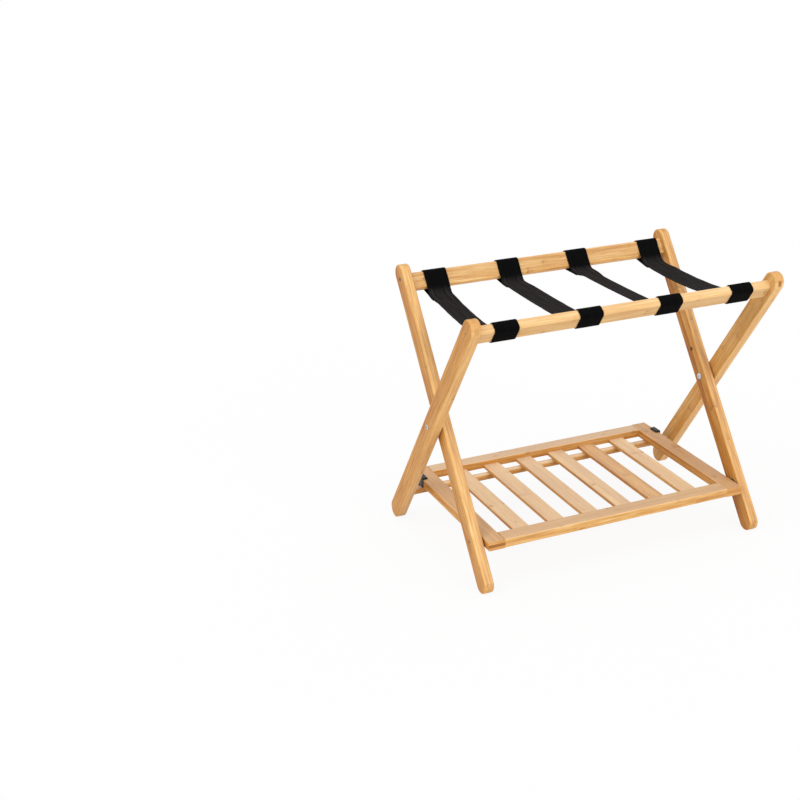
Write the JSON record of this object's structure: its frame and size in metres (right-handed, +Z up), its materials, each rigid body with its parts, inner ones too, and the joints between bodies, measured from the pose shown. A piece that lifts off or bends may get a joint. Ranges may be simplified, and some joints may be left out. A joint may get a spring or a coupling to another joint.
{
  "type": "folding luggage rack",
  "caption": "Folding bamboo luggage rack with crossed legs, black webbing straps between rounded top rails and a slatted lower shelf that hooks onto a rear bar and folds up.",
  "frame": {"origin": "on the floor under the middle of the open rack, straight below the crossing pivot of the legs", "axes": "+X along the rails to the right end, +Z up, -Y towards the front, where the shelf is hinged"},
  "size_m": [0.681, 0.4154, 0.5558],
  "materials": {
    "bamboo_outer_legs": "satin lacquer",
    "bamboo_inner_legs": "satin lacquer",
    "bamboo_rails": "satin lacquer",
    "bamboo_shelf": "satin lacquer",
    "dowel_wood": "plain turned wood",
    "webbing": "black woven webbing",
    "zinc_steel": "bright zinc",
    "washer_nylon": "black nylon",
    "clip_plastic": "black moulded plastic"
  },
  "bodies": {
    "outer_frame": {"outer_leg_left": "bamboo_outer_legs", "outer_leg_right": "bamboo_outer_legs", "front_top_rail": "bamboo_rails", "front_rail_screws": "zinc_steel", "front_rail_dowels": "dowel_wood", "rear_lower_bar": "bamboo_rails", "pivot_bolt_left": "zinc_steel", "pivot_bolt_right": "zinc_steel", "pivot_barrel_left": "zinc_steel", "pivot_barrel_right": "zinc_steel", "pivot_washer_left": "washer_nylon", "pivot_washer_right": "washer_nylon", "strap_1_front_loop": "webbing", "strap_1_span": "webbing", "strap_2_front_loop": "webbing", "strap_2_span": "webbing", "strap_3_front_loop": "webbing", "strap_3_span": "webbing", "strap_4_front_loop": "webbing", "strap_4_span": "webbing"},
    "inner_frame": {"inner_leg_left": "bamboo_inner_legs", "inner_leg_right": "bamboo_inner_legs", "rear_top_rail": "bamboo_rails", "rear_rail_screws": "zinc_steel", "rear_rail_dowels": "dowel_wood", "catch_stud_left": "zinc_steel", "catch_stud_right": "zinc_steel", "strap_1_rear_loop": "webbing", "strap_2_rear_loop": "webbing", "strap_3_rear_loop": "webbing", "strap_4_rear_loop": "webbing"},
    "shelf": {"shelf_side_rail_left": "bamboo_shelf", "shelf_side_rail_right": "bamboo_shelf", "shelf_front_rail": "bamboo_rails", "shelf_rear_rail": "bamboo_rails", "shelf_slat_1": "bamboo_shelf", "shelf_slat_2": "bamboo_shelf", "shelf_slat_3": "bamboo_shelf", "shelf_slat_4": "bamboo_shelf", "shelf_slat_5": "bamboo_shelf", "shelf_slat_6": "bamboo_shelf", "shelf_corner_dowels": "dowel_wood", "shelf_pivot_bolt_left": "zinc_steel", "shelf_pivot_bolt_right": "zinc_steel", "shelf_pivot_washer_left": "washer_nylon", "shelf_pivot_washer_right": "washer_nylon", "hook_clip_left": "clip_plastic", "hook_clip_right": "clip_plastic", "clip_screws": "zinc_steel"}
  },
  "joints": [
    {"name": "frame_fold", "type": "hinge", "parent": "outer_frame", "child": "inner_frame", "pos_m": [0, 0, 0.27869], "axis": [1, 0, 0], "range_deg": [0, 64], "deforming": ["strap_1_span", "strap_2_span", "strap_3_span", "strap_4_span"]},
    {"name": "shelf_fold", "type": "hinge", "parent": "inner_frame", "child": "shelf", "pos_m": [0, -0.13964, 0.0865], "axis": [1, 0, 0], "range_deg": [0, 54]}
  ],
  "couplings": [
    {"joint": "shelf_fold", "follows": "frame_fold", "ratio": 0.84375}
  ]
}
